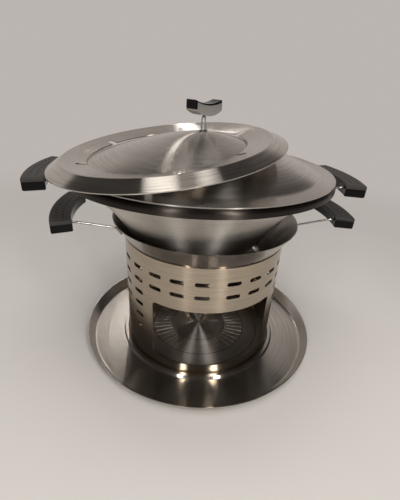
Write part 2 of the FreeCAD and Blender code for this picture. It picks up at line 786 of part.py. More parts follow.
def grip_place(pan, side):
    """Return the place and turn of a grip: its reach, its height and the pan that carries it."""
    shift_left, shift_back, turn = ("0", "0", "0") if pan == "lower" else (
        "-upper_shift_left", "upper_shift_back", "-upper_turn")
    half_turn = "0" if side == "right" else "180"
    heading = f"({turn} + {half_turn})"
    offset = f"({pan}_grip_reach - grip_arc_radius)"
    height = LOWER_GRIP_HEIGHT if pan == "lower" else UPPER_GRIP_HEIGHT
    return {
        "across": f"{shift_left} + {offset} * cos({heading})",
        "along": f"{shift_back} + {offset} * sin({heading})",
        "up": height,
        "turn": heading,
    }


def make_grip(pan, side):
    """Side grip: a flat upper half and a deeper lower half closed round the wire."""
    channel_depth = "wire_radius + wire_clearance"
    top = new_body(f"{pan}_{side}_grip_top")
    block = pad(top, grip_outline(top, "top_plan"), "top_block", "grip_top_thickness")
    fillet(top, block, "top_rounding", "grip_top_bend", level_at("grip_top_thickness"))
    pocket(top, wire_channel(top, "top_channel_plan"), "top_channel", channel_depth, reverse=True)
    pilots = [(across, aside, "screw_shank_radius + screw_clearance") for across, aside in screw_places()]
    pocket(top, circles(top, "pilot_plan", "XY_Plane", pilots), "pilots",
           "screw_bite + screw_clearance", reverse=True)
    base = new_body(f"{pan}_{side}_grip_base")
    block = pad(base, grip_outline(base, "base_plan"), "base_block", "grip_base_thickness", reverse=True)
    fillet(base, block, "base_rounding", "grip_base_bend", level_at("-grip_base_thickness"))
    pocket(base, wire_channel(base, "base_channel_plan"), "base_channel", channel_depth)
    pocket(base, circles(base, "shank_plan", "XY_Plane", pilots), "shank_holes", "grip_base_thickness")
    recesses = [(across, aside, "screw_head_radius + screw_clearance") for across, aside in screw_places()]
    recess_plan = circles(base, "recess_plan", "XY_Plane", recesses, lift="-grip_base_thickness")
    pocket(base, recess_plan, "recesses", "screw_recess", reverse=True)
    for half in (top, base):
        place(half, **grip_place(pan, side))


def wall_radius(pan, height):
    """Return the outer radius of a pan's wall at a height above its base."""
    if pan == "lower":
        return number(f"lower_floor_radius + {LOWER_SLOPE} * {height}")
    return number(f"{UPPER_KNEE_RADIUS} + {UPPER_FLARE} * ({height} - upper_knee_height)")


def make_handle_wire(pan, side):
    """Handle wire: welded down the pan's wall, out under its rim and across inside the grip."""
    wire = doc.addObject("Part::Feature", f"{pan}_{side}_wire")
    wire.Label = f"{pan}_{side}_wire"
    lower = pan == "lower"
    base = number(LOWER_BASE if lower else UPPER_BASE)
    rim = number("lower_height" if lower else "upper_height - lip_depth")
    slope = number(LOWER_SLOPE if lower else UPPER_FLARE)
    slant = math.hypot(1, slope)
    off_wall = number("wire_radius + weld_gap") * slant
    knee_height = rim - number(f"{pan}_knee_drop")
    leg_height = knee_height - number("weld_leg") / slant
    knee_radius = wall_radius(pan, knee_height) + off_wall
    leg_radius = wall_radius(pan, leg_height) + off_wall
    azimuth = math.asin(number("arm_root_spread") / knee_radius)
    spot = grip_place(pan, side)
    grip_height = number(spot["up"])
    offset = number(f"{pan}_grip_reach - grip_arc_radius")
    spread = number("arm_grip_spread")
    run = number("grip_arc_radius + wire_inset") + offset
    face = math.sqrt(number("grip_arc_radius") ** 2 - spread ** 2) + offset
    elbow = face - number("arm_lead")
    half = [
        FreeCAD.Vector(leg_radius * math.cos(azimuth), leg_radius * math.sin(azimuth), base + leg_height),
        FreeCAD.Vector(knee_radius * math.cos(azimuth), knee_radius * math.sin(azimuth), base + knee_height),
        FreeCAD.Vector(elbow, spread, grip_height),
        FreeCAD.Vector(run, spread, grip_height),
    ]
    mirrored = [FreeCAD.Vector(point.x, -point.y, point.z) for point in reversed(half)]
    wire.Shape = bent_wire(half + mirrored, number("wire_bend"), number("wire_radius"))
    shift = ("0", "0") if lower else ("-upper_shift_left", "upper_shift_back")
    place(wire, shift[0], shift[1], "0", spot["turn"])
    sub_parts.append(wire)


def make_grip_screws(pan):
    """Grip screws: two in each of a pan's grips, driven up from below."""
    screws = []
    head_under = "(screw_recess - grip_base_thickness)"
    for side in ("left", "right"):
        spot = grip_place(pan, side)
        for index, (across, aside) in enumerate(screw_places()):
            name = f"{pan}_{side}_screw_{index}"
            head = doc.addObject("Part::Cylinder", f"{name}_head")
            bind(head, Radius="screw_head_radius", Height="screw_head_height")
            place(head, across, aside, f"{head_under} - screw_head_height")
            shank = doc.addObject("Part::Cylinder", f"{name}_shank")
            bind(shank, Radius="screw_shank_radius", Height=f"screw_bite - {head_under}")
            place(shank, across, aside, head_under)
            screw = doc.addObject("Part::Fuse", name)
            screw.Base = head
            screw.Tool = shank
            place(screw, **spot)
            screws.append(screw)
    group = doc.addObject("Part::Compound", f"{pan}_grip_screws")
    group.Label = f"{pan}_grip_screws"
    group.Links = screws
    sub_parts.append(group)


make_tray()
make_stand()
make_lower_pan()
make_upper_pan()
for pan_name in ("lower", "upper"):
    for side_name in ("left", "right"):
        make_handle_wire(pan_name, side_name)
        make_grip(pan_name, side_name)
    make_grip_screws(pan_name)
make_lid()
make_knob_grip()
make_knob_saddle()
make_knob_stem()
make_fork_ring()
doc.recompute()

for item in doc.Objects:
    if "Invalid" in item.State or "Error" in item.State:
        raise RuntimeError(f"{item.Label} failed: {item.State}")
for sub_part in sub_parts:
    if sub_part.Shape.isNull() or not sub_part.Shape.isValid():
        raise RuntimeError(f"{sub_part.Label} has no valid shape")

os.makedirs("parts", exist_ok=True)
for sub_part in sub_parts:
    sub_part.Shape.exportStep(f"parts/{sub_part.Label}.step")
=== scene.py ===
"""Dresses a stacked table-top food warmer: tray, burner stand, two pans, lid with knob and fork ring."""
import math

import bmesh
import bpy
from bpy.props import FloatProperty, FloatVectorProperty, IntProperty, PointerProperty
from mathutils import Matrix, Vector


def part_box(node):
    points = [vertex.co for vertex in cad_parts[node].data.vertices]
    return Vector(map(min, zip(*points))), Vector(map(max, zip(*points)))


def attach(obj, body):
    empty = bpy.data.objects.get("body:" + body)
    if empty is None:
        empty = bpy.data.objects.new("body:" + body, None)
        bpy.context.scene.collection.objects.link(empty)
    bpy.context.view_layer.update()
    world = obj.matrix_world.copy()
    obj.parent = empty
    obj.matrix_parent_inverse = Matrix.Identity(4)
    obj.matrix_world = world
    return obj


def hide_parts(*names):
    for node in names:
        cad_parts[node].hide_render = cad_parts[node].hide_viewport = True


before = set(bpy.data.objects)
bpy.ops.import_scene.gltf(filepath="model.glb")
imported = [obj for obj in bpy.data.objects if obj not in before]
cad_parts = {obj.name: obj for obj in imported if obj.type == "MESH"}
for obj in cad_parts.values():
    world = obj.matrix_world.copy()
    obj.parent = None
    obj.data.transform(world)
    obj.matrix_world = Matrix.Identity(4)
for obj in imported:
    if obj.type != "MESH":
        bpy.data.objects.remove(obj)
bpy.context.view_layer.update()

bl_info = {
    "name": "Table-top food warmer",
    "version": (1, 0, 0),
    "blender": (4, 5, 0),
    "location": "3D View > Sidebar > Warmer",
    "description": "Finishes the pieces of a stacked steel food warmer and sets its studio stage",
    "category": "Object",
}

MILLIMETRE = 0.001
PANS = ("lower", "upper")
SIDE_SIGN = {"left": -1, "right": 1}


# Properties that a user would change

class WarmerSteel(bpy.types.PropertyGroup):
    """Finish of the spun and brushed steel sheet and of the bright wire, with the colours of its painted
    shade
    """
    light: FloatVectorProperty(
        name="Light grain", description="Colour of the bright brush lines",
        default=(0.64, 0.60, 0.55), size=3, min=0, max=1, subtype="COLOR")
    dark: FloatVectorProperty(
        name="Dark grain", description="Colour of the dull brush lines",
        default=(0.47, 0.44, 0.405), size=3, min=0, max=1, subtype="COLOR")
    haze: FloatVectorProperty(
        name="Haze", description="Colour of the handling haze on the sheet",
        default=(0.30, 0.275, 0.25), size=3, min=0, max=1, subtype="COLOR")
    # Painted shade: a dark colour painted on the upper pan's lip and inside the lower pan for the shade and
    # dark reflections there, and along the tray's rings for the shade in their grooves
    painted_shade: FloatVectorProperty(
        name="Burnt steel", description="Colour of the dark lip, the lower pan's inside and the tray's rings",
        default=(0.052, 0.045, 0.040), size=3, min=0, max=1, subtype="COLOR")
    stand_tint: FloatVectorProperty(
        name="Stand tint", description="Warm tint of the stand's sheet",
        default=(0.84, 0.76, 0.65), size=3, min=0, max=1, subtype="COLOR")
    # Partly a brighter polish and partly painted light: the lighter sheet stands in for the bright floor the
    # upper pan's wall mirrors
    upper_polish_and_sheen: FloatVectorProperty(
        name="Upper pan tint", description="Brighter polish of the upper pan's sheet",
        default=(1.32, 1.32, 1.32), size=3, min=0, max=1.5, subtype="COLOR")
    wire_tone: FloatProperty(
        name="Wire tone", description="Brightness of the handle wires, the screws and the knob's stem",
        default=0.45, min=0, max=1, subtype="FACTOR")
    strap_tone: FloatProperty(
        name="Strap tone", description="Brightness of the strap round the knob",
        default=0.60, min=0, max=1, subtype="FACTOR")
    roughness: FloatProperty(
        name="Roughness", description="Mean roughness of the brushed surface",
        default=0.19, min=0, max=1, subtype="FACTOR")
    tray_wear: FloatProperty(
        name="Tray wear", description="Added roughness of the tray inside the stand, as a share of the mean",
        default=1.0, min=0, max=4)
    upper_wear: FloatProperty(
        name="Upper pan wear", description="Roughness of the upper pan as a share of the mean",
        default=1.9, min=0, max=4)
    lid_wear: FloatProperty(
        name="Lid wear", description="Roughness of the lid as a share of the mean",
        default=1.3, min=0, max=4)
    ring_wear: FloatProperty(
        name="Fork ring wear", description="Roughness of the fork ring as a share of the mean",
        default=0.85, min=0, max=4)
    stretch: FloatProperty(
        name="Highlight stretch", description="How far highlights stretch across the brush lines",
        default=0.97, min=0, max=1, subtype="FACTOR")
    line_pitch: FloatProperty(
        name="Line pitch", description="Mean distance between brush lines",
        default=0.0005, min=0.0001, max=0.01, unit="LENGTH", precision=5)
    relief: FloatProperty(
        name="Line relief", description="Depth of the brush lines in the surface",
        default=0.00002, min=0, max=0.001, unit="LENGTH", precision=6)
    # Painted shade: width of the dark band painted round the upper pan's lip, for the shade under the lid and
    # the dark room it mirrors
    lip_shade_band: FloatProperty(
        name="Dark lip", description="Width of the dark band round the upper pan's lip",
        default=0.0062, min=0, unit="LENGTH", precision=4)
    pan_slope: FloatProperty(
        name="Lower pan slope", description="How far the lower pan's wall leans out for each unit of height",
        default=0.6544, min=0)
    # Painted shade: how strongly dark colour is painted inside the lower pan, which lies in shade and mirrors
    # the upper pan's dark underside
    inside_shade_strength: FloatProperty(
        name="Inside burn", description="How strongly the lower pan's inside is burnt",
        default=0.6, min=0, max=1, subtype="FACTOR")
    groove_radii: FloatVectorProperty(
        name="Tray rings", description="Radii of the fine rings in the tray's middle",
        default=(0.039, 0.066, 0.085), size=3, unit="LENGTH")
    groove_width: FloatProperty(
        name="Ring width", description="Half width of each fine ring in the tray",
        default=0.0009, min=0.0001, unit="LENGTH", precision=4)
    ring_tilt: FloatProperty(
        name="Ring tilt", description="How far the fork ring leans on the lid",
        default=math.radians(8.9), subtype="ANGLE")
    ring_heading: FloatProperty(
        name="Ring heading", description="Direction in which the fork ring leans",
        default=math.radians(195.5), subtype="ANGLE")


class WarmerGrips(bpy.types.PropertyGroup):
    """Moulded side grips and their dimples"""
    matte: FloatVectorProperty(
        name="Matte moulding", description="Colour of the dull dimpled tops",
        default=(0.022, 0.0200, 0.0192), size=3, min=0, max=1, subtype="COLOR")
    gloss: FloatVectorProperty(
        name="Gloss moulding", description="Colour of the shiny undersides and of the knob",
        default=(0.003, 0.003, 0.0033), size=3, min=0, max=1, subtype="COLOR")
    # Painted shade: the dimples are coloured darker than the tops for the shade in the hollows
    dimple_painted_shade: FloatProperty(
        name="Dimple shade", description="Colour of the dimples as a share of the dull tops' colour",
        default=0.15, min=0, max=1, subtype="FACTOR")
    arc_radius: FloatProperty(
        name="Arc radius", description="Radius of a grip's inner edge",
        default=0.163, min=0.01, unit="LENGTH")
    width: FloatProperty(
        name="Width", description="Width of a grip", default=0.022, min=0.005, unit="LENGTH")
    upper_turn: FloatProperty(
        name="Upper turn", description="Turn of the upper pan's grips about its axis",
        default=math.radians(-3.4), subtype="ANGLE")
    half_angle: FloatProperty(
        name="Dimple half angle", description="Angle from a grip's middle to its last dimple",
        default=math.radians(13.2), subtype="ANGLE")
    per_row: IntProperty(
        name="Dimples in a row", description="Number of dimples along a row", default=11, min=2, max=40)
    rows: IntProperty(
        name="Rows", description="Number of rows of dimples", default=2, min=1, max=5)
    first_row: FloatProperty(
        name="First row", description="Distance of the first row from the inner edge",
        default=0.0078, min=0.001, unit="LENGTH")
    row_gap: FloatProperty(
        name="Row gap", description="Distance between rows", default=0.0068, min=0.001, unit="LENGTH")
    dimple_radius: FloatProperty(
        name="Dimple radius", description="Radius of the ball that presses a dimple",
        default=0.0012, min=0.0002, unit="LENGTH", precision=4)
    dimple_lift: FloatProperty(
        name="Dimple lift", description="Height of the pressing ball's middle, as a share of its radius",
        default=0.35, min=0, max=0.9)


class WarmerStage(bpy.types.PropertyGroup):
    """Floor, lights and camera"""
    eye: FloatVectorProperty(
        name="Camera place", description="Where the camera stands",
        default=(-0.0765, -0.3794, 0.3217), size=3, unit="LENGTH", subtype="TRANSLATION")
    yaw: FloatProperty(
        name="Camera yaw", description="Heading of the camera from the Y axis",
        default=math.radians(10.83), subtype="ANGLE")
    pitch: FloatProperty(
        name="Camera pitch", description="Tilt of the camera from level",
        default=math.radians(-27.29), subtype="ANGLE")
    roll: FloatProperty(
        name="Camera roll", description="Roll of the camera about its own line of sight",
        default=math.radians(3.49), subtype="ANGLE")
    lens: FloatProperty(
        name="Lens", description="Focal length in millimetres on a 36 mm high sensor", default=23.47, min=1)
    floor: FloatVectorProperty(
        name="Floor", description="Colour of the pale floor",
        default=(0.61, 0.592, 0.575), size=3, min=0, max=1, subtype="COLOR")
    background: FloatVectorProperty(
        name="Background", description="Colour behind the object",
        default=(0.50, 0.46, 0.435), size=3, min=0, max=1, subtype="COLOR")
    room: FloatVectorProperty(
        name="Room", description="Colour of the dim room in front of the object",
        default=(0.055, 0.051, 0.048), size=3, min=0, max=1, subtype="COLOR")
    lamp_colour: FloatVectorProperty(
        name="Lamp colour", description="Warm white of the lamps",
        default=(1.0, 0.965, 0.92), size=3, min=0, max=1, subtype="COLOR")
    aim_height: FloatProperty(
        name="Lamp aim", description="Height on the stack that the lamps point at",
        default=0.14, min=0, unit="LENGTH")


# Node building

class Field:
    """A socket's value; arithmetic on it adds Math nodes to its tree."""

    def __init__(self, graph, socket):
        self.graph = graph
        self.socket = socket

    def __add__(self, other):
        return self.graph.maths("ADD", self, other)

    def __radd__(self, other):
        return self.graph.maths("ADD", other, self)

    def __sub__(self, other):
        return self.graph.maths("SUBTRACT", self, other)

    def __rsub__(self, other):
        return self.graph.maths("SUBTRACT", other, self)

    def __mul__(self, other):
        return self.graph.maths("MULTIPLY", self, other)

    def __rmul__(self, other):
        return self.graph.maths("MULTIPLY", other, self)

    def __truediv__(self, other):
        return self.graph.maths("DIVIDE", self, other)

    def __rtruediv__(self, other):
        return self.graph.maths("DIVIDE", other, self)

    def __pow__(self, other):
        return self.graph.maths("POWER", self, other)

    def __mod__(self, other):
        return self.graph.maths("MODULO", self, other)


class Graph:
    """Adds nodes to one node tree and wires them up."""

    def __init__(self, tree):
        self.tree = tree
        tree.nodes.clear()

    def fill(self, socket, value):
        """Link a socket to a field, or set it to a plain value."""
        if isinstance(value, Field):
            self.tree.links.new(value.socket, socket)
        else:
            socket.default_value = value

    def node(self, kind, settings=None, inputs=None):
        """Add a node, apply its settings, then fill or link its sockets."""
        made = self.tree.nodes.new(kind)
        for name, setting in (settings or {}).items():
            setattr(made, name, setting)
        for key, value in (inputs or {}).items():
            self.fill(made.inputs[key], value)
        return made

    def field(self, kind, settings=None, inputs=None, output=0):
        """Add a node and return one of its outputs as a field."""
        return Field(self, self.node(kind, settings, inputs).outputs[output])

    def maths(self, operation, *terms):
        """Add one Math node whose inputs are the terms."""
        return self.field("ShaderNodeMath", {"operation": operation}, dict(enumerate(terms)))

    def blend(self, factor, first, second):
        """Mix two colours."""
        mixer = self.node("ShaderNodeMix", {"data_type": "RGBA"})
        ends = {"A_Color": first, "B_Color": second, "Factor_Float": factor}
        for socket in mixer.inputs:
            if socket.identifier in ends:
                self.fill(socket, ends[socket.identifier])
        mixed = next(socket for socket in mixer.outputs if socket.identifier == "Result_Color")
        return Field(self, mixed)

    def noise(self, place, scale, detail):
        """Add a noise texture and return its value."""
        return self.field("ShaderNodeTexNoise", None, {"Vector": place, "Scale": scale, "Detail": detail})

    def bump(self, height, strength, distance):
        """Turn a height into a surface normal."""
        return self.field("ShaderNodeBump", None, {
            "Strength": strength, "Distance": distance, "Height": height})

    def split(self, vector):
        """Return the three parts of a vector."""
        parts = self.node("ShaderNodeSeparateXYZ", None, {"Vector": vector})
        return [Field(self, socket) for socket in parts.outputs]


def opaque(colour):
    """Give a colour a full alpha."""
    return (*colour, 1.0)


def scaled(colour, share):
    """Multiply every channel of a colour by one share."""
    return [channel * share for channel in colour]


def tinted(colour, tint):
    """Multiply a colour by a tint, channel by channel."""
    return [channel * share for channel, share in zip(colour, tint)]


def smooth_step(value, first, last):
    """Rise smoothly from 0 to 1 as a value goes from a first to a last one."""
    return value.graph.field("ShaderNodeMapRange", {"interpolation_type": "SMOOTHSTEP"}, {
        "Value": value, "From Min": first, "From Max": last})


def material_graph(name):
    """Start a material with an empty tree, and return it with its tree and the object's own coordinates."""
    material = bpy.data.materials.new(name)
    material.use_nodes = True
    graph = Graph(material.node_tree)
    return material, graph, graph.field("ShaderNodeTexCoord", output="Object")


def finish_surface(graph, inputs):
    """Close a material with one principled surface."""
    shader = graph.field("ShaderNodeBsdfPrincipled", None, inputs)
    graph.node("ShaderNodeOutputMaterial", None, {"Surface": shader})


# Materials

def brush_lines(graph, pitch, radius, across, along, height):
    """Return the brush lines of a spun sheet, which run round its axis, as a value about one half."""
    sweep = 2.5
    across_lines = radius + height
    track = graph.field("ShaderNodeCombineXYZ", None, {
        "X": across_lines * (1 / pitch),
        "Y": across / radius * sweep,
        "Z": along / radius * sweep,
    })
    fine_share = 0.85
    fine = graph.noise(track, scale=1.0, detail=3.0)
    coarse = graph.noise(track, scale=0.17, detail=2.0)
    return fine * fine_share + coarse * (1 - fine_share)


def spun_steel(name, steel, centre, tilt=(0, 0, 0), tint=(1, 1, 1), wear=1.0, worn_zone=None, painted_shade_mask=None,
               grooves=()):
    """Brushed steel sheet whose lines run round an axis.

    Where given, worn_zone is the wear to add at a radius, and the shade mask is the share of painted shade
    colour at a radius and a height.
    """
    material, graph, place = material_graph(name)
    local = graph.field("ShaderNodeMapping", {"vector_type": "TEXTURE"},
                        {"Vector": place, "Location": centre, "Rotation": tilt})
    across, along, height = graph.split(local)
    off_zero = 1e-8
    radius = (across * across + along * along + off_zero) ** 0.5
    lines = brush_lines(graph, steel.line_pitch, radius, across, along, height)
    smudge = graph.noise(local, scale=22.0, detail=4.0)

    # Colour: dull and bright lines under a thin haze, then painted shade in the rings and in the masked zones
    dull_below = 0.3
    bright_above = 0.7
    haze_share = 0.16
    ring_core = steel.groove_width * 0.3
    groove_painted_shade = 0.6
    ring_depth = 4.0
    line_share = smooth_step(lines, dull_below, bright_above)
    colour = graph.blend(line_share, opaque(tinted(steel.dark, tint)), opaque(tinted(steel.light, tint)))
    colour = graph.blend(smudge * haze_share, colour, opaque(steel.haze))
    relief = lines
    # Each ring is a shallow groove in the bump with a line of painted shade in the colour
    for groove in grooves:
        gap = graph.maths("ABSOLUTE", radius - groove)
        mark = smooth_step(gap, steel.groove_width, ring_core)
        relief = relief - mark * ring_depth
        colour = graph.blend(mark * groove_painted_shade, colour, opaque(steel.painted_shade))
    # Painted shade where the mask says: on the upper pan's lip and inside the lower pan
    if painted_shade_mask:
        colour = graph.blend(painted_shade_mask(radius, height), colour, opaque(steel.painted_shade))

    # Roughness: the lines and the smudges vary the piece's own mean
    line_bite = 0.06
    smudge_bite = 0.05
    mean = 0.5
    roughness = (lines - mean) * line_bite + (smudge - mean) * smudge_bite + wear * steel.roughness
    if worn_zone:
        roughness = roughness + worn_zone(radius) * steel.roughness
    finish_surface(graph, {
        "Base Color": colour,
        "Metallic": 1.0,
        "Roughness": roughness,
        "Normal": graph.bump(relief, strength=0.35, distance=steel.relief),
        "Anisotropic": steel.stretch,
        "Anisotropic Rotation": 0.25,
    })
    return material


def bright_wire(name, tone):
    """Drawn steel wire and small bright fittings."""
    material, graph, place = material_graph(name)
    scratch = graph.noise(place, scale=900.0, detail=2.0)
    cloud = graph.noise(place, scale=60.0, detail=2.0)
    clean = (tone, tone * 0.985, tone * 0.95)
    dull = (tone * 0.86, tone * 0.84, tone * 0.80)
    scratch_bite = 0.10
    polish = 0.13
    finish_surface(graph, {
        "Base Color": graph.blend(cloud, opaque(dull), opaque(clean)),
        "Metallic": 1.0,
        "Roughness": scratch * scratch_bite + polish,
        "Normal": graph.bump(scratch, strength=0.2, distance=0.02 * MILLIMETRE),
    })
    return material


def matte_moulding(name, colour, sheen=0.35):
    """Dull moulded plastic with a fine spark-eroded grain."""
    material, graph, place = material_graph(name)
    grain = graph.noise(place, scale=2600.0, detail=3.0)
    worn = graph.noise(place, scale=70.0, detail=3.0)
    worn_gain = 1.9
    grain_bite = 0.14
    worn_bite = 0.10
    dullness = 0.40
    finish_surface(graph, {
        "Base Color": graph.blend(worn, opaque(colour), opaque(scaled(colour, worn_gain))),
        "Roughness": grain * grain_bite + worn * worn_bite + dullness,
        "Specular IOR Level": sheen,
        "Normal": graph.bump(grain, strength=0.5, distance=0.05 * MILLIMETRE),
    })
    return material


def gloss_moulding(name, colour):
    """Shiny moulded plastic with faint flow marks."""
    material, graph, place = material_graph(name)
    flow = graph.noise(place, scale=45.0, detail=3.0)
    grain = graph.noise(place, scale=1800.0, detail=2.0)
    flow_gain = 1.7
    flow_bite = 0.06
    polish = 0.07
    finish_surface(graph, {
        "Base Color": graph.blend(flow, opaque(colour), opaque(scaled(colour, flow_gain))),
        "Roughness": flow * flow_bite + polish,
        "Specular IOR Level": 0.12,
        "Normal": graph.bump(grain, strength=0.15, distance=0.02 * MILLIMETRE),
    })
    return material


def dress(node, material):
    """Give a CAD node's object one material."""
    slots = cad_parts[node].data.materials
    slots.clear()
    slots.append(material)


# Places taken from the frame

def middle(node):
    """Return the middle of a node's box."""
    low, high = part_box(node)
    return (low + high) / 2


def axis_of(node):
    """Return the point of the floor under a round node's axis."""
    centre = middle(node)
    return centre.x, centre.y, 0.0


def half_width(node):
    """Return half of a node's width along X, which is a round node's radius."""
    low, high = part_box(node)
    return (high.x - low.x) / 2


# Meshes

def merged_copy(node, name):
    """Copy a node's mesh into a new closed mesh with shared corners."""
    corner_gap = 0.002 * MILLIMETRE
    mesh = bpy.data.meshes.new(name)
    shell = bmesh.new()
    shell.from_mesh(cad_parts[node].data)
    bmesh.ops.remove_doubles(shell, verts=shell.verts, dist=corner_gap)
    shell.to_mesh(mesh)
    shell.free()
    return mesh


def new_object(name, mesh):
    """Put a mesh into the scene at the origin."""
    piece = bpy.data.objects.new(name, mesh)
    bpy.context.scene.collection.objects.link(piece)
    return piece


def keep_result(piece):
    """Turn a piece and its modifiers into a plain mesh."""
    bpy.context.view_layer.update()
    evaluated = piece.evaluated_get(bpy.context.evaluated_depsgraph_get())
    mesh = bpy.data.meshes.new_from_object(evaluated)
    piece.modifiers.clear()
    piece.data = mesh


def soften(piece, crisp_angle):
    """Shade a piece smooth, with its flat faces flat and edges sharper than an angle crisp."""
    mesh = piece.data
    mesh.polygons.foreach_set("use_smooth", [True] * len(mesh.polygons))
    mesh.set_sharp_from_angle(angle=crisp_angle)
    weighing = piece.modifiers.new("even_normals", "WEIGHTED_NORMAL")
    weighing.keep_sharp = True
    keep_result(piece)


def new_group(name, inputs):
    """Start a geometry node group with a geometry input and named inputs for its sizes."""
    group = bpy.data.node_groups.new(name, "GeometryNodeTree")
    graph = Graph(group)
    group.interface.new_socket("Geometry", in_out="INPUT", socket_type="NodeSocketGeometry")
    for label, kind in inputs.items():
        group.interface.new_socket(label, in_out="INPUT", socket_type=kind)
    group.interface.new_socket("Geometry", in_out="OUTPUT", socket_type="NodeSocketGeometry")
    entry = graph.node("NodeGroupInput")
    sockets = {socket.name: Field(graph, socket) for socket in entry.outputs if socket.name}
    return group, graph, sockets


def close_group(graph, geometry, material, kept):
    """End a geometry node group with real meshes in one material, save for the faces in a kept one."""
    real = graph.field("GeometryNodeRealizeInstances", None, {"Geometry": geometry})
    kept_faces = graph.field("GeometryNodeMaterialSelection", None, {"Material": kept})
    other_faces = graph.field("FunctionNodeBooleanMath", {"operation": "NOT"}, {0: kept_faces})
    coated = graph.field("GeometryNodeSetMaterial", None, {
        "Geometry": real, "Selection": other_faces, "Material": material})
    graph.node("NodeGroupOutput", None, {"Geometry": coated})


def apply_group(piece, group, values):
    """Run a node group on a piece and keep the result as its plain mesh."""
    modifier = piece.modifiers.new(group.name, "NODES")
    modifier.node_group = group
    for item in group.interface.items_tree:
        if item.in_out == "INPUT" and item.name in values:
            modifier[item.identifier] = values[item.name]
    keep_result(piece)


def dimple_group(material, hollow):
    """Press rows of round dimples, in a darker material of their own that paints the shade in them, into a
    grip's top.
    """
    group, graph, given = new_group("grip_dimples", {
        "Arc Radius": "NodeSocketFloat", "Row Gap": "NodeSocketFloat", "Half Angle": "NodeSocketFloat",
        "Per Row": "NodeSocketInt", "Rows": "NodeSocketInt", "Dimple Radius": "NodeSocketFloat",
        "Centre": "NodeSocketVector", "Turn": "NodeSocketFloat",
    })
    points = graph.field("GeometryNodePoints", None, {"Count": given["Per Row"] * given["Rows"]})
    index = graph.field("GeometryNodeInputIndex")
    column = index % given["Per Row"]
    row = graph.maths("FLOOR", index / given["Per Row"])
    angle = (column / (given["Per Row"] - 1) * 2 - 1) * given["Half Angle"] + given["Turn"]
    radius = given["Arc Radius"] + row * given["Row Gap"]
    spot = graph.field("ShaderNodeCombineXYZ", None, {
        "X": radius * graph.maths("COSINE", angle), "Y": radius * graph.maths("SINE", angle)})
    place = graph.field("ShaderNodeVectorMath", {"operation": "ADD"}, {0: spot, 1: given["Centre"]})
    set_out = graph.field("GeometryNodeSetPosition", None, {"Geometry": points, "Position": place})
    ball = graph.field("GeometryNodeMeshIcoSphere", None, {
        "Radius": given["Dimple Radius"], "Subdivisions": 3})
    dark_ball = graph.field("GeometryNodeSetMaterial", None, {"Geometry": ball, "Material": hollow})
    balls = graph.field("GeometryNodeInstanceOnPoints", None, {"Points": set_out, "Instance": dark_ball})
    solid_balls = graph.field("GeometryNodeRealizeInstances", None, {"Geometry": balls})
    grip = graph.field("GeometryNodeSetMaterial", None, {"Geometry": given["Geometry"], "Material": material})
    pressed = graph.field("GeometryNodeMeshBoolean", {"operation": "DIFFERENCE", "solver": "EXACT"}, {
        "Mesh 1": grip, "Mesh 2": solid_balls})
    close_group(graph, pressed, material, hollow)
    return group


# Operators

class WARMER_OT_tray(bpy.types.Operator):
    """Finish the drip tray, duller inside the stand"""
    bl_idname = "warmer.tray"
    bl_label = "Drip tray"

    def execute(self, context):
        steel = context.scene.warmer_steel
        dress("tray", spun_steel(
            "tray_steel", steel, axis_of("tray"), worn_zone=self.under_stand(steel),
            grooves=steel.groove_radii))
        return {"FINISHED"}

    def under_stand(self, steel):
        """Return the wear to add inside the stand's wall."""
        edge = half_width("stand")
        full = edge * 0.9
        return lambda radius: steel.tray_wear * smooth_step(radius, edge, full)


class WARMER_OT_stand(bpy.types.Operator):
    """Finish the slotted burner stand"""
    bl_idname = "warmer.stand"
    bl_label = "Burner stand"

    def execute(self, context):
        steel = context.scene.warmer_steel
        dress("stand", spun_steel("stand_steel", steel, axis_of("stand"), tint=steel.stand_tint))
        return {"FINISHED"}


class WARMER_OT_pans(bpy.types.Operator):
    """Finish the lower and the upper pan, with painted shade on the upper pan's lip and inside the lower pan
    """
    bl_idname = "warmer.pans"
    bl_label = "Pans"

    def execute(self, context):
        steel = context.scene.warmer_steel
        dress("lower_pan", spun_steel(
            "lower_pan_steel", steel, axis_of("lower_pan"), painted_shade_mask=self.inside_painted_shade(steel)))
        # The upper pan's tint is partly polish and partly painted light for the floor its wall mirrors; its
        # lip gets painted shade
        dress("upper_pan", spun_steel(
            "upper_pan_steel", steel, axis_of("upper_pan"), tint=steel.upper_polish_and_sheen,
            wear=steel.upper_wear, painted_shade_mask=self.lip_painted_shade(steel)))
        return {"FINISHED"}

    def lip_painted_shade(self, steel):
        """Return a mask of the painted shade and dark reflection round the upper pan's lip."""
        full = half_width("upper_pan") - steel.lip_shade_band
        edge = full - MILLIMETRE
        return lambda radius, height: smooth_step(radius, edge, full)

    def inside_painted_shade(self, steel):
        """Return a mask of the painted shade inside the lower pan, which starts just under its outer skin."""
        rim = half_width("lower_pan")
        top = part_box("lower_pan")[1].z
        edge = 0.1 * MILLIMETRE
        full = 0.6 * MILLIMETRE

        def mask(radius, height):
            outer_skin = (height - top) * steel.pan_slope + rim
            return steel.inside_shade_strength * smooth_step(outer_skin - radius, edge, full)

        return mask


class WARMER_OT_lid(bpy.types.Operator):
    """Finish the domed lid"""
    bl_idname = "warmer.lid"
    bl_label = "Lid"

    def execute(self, context):
        steel = context.scene.warmer_steel
        dress("lid", spun_steel("lid_steel", steel, axis_of("lid"), wear=steel.lid_wear))
        return {"FINISHED"}


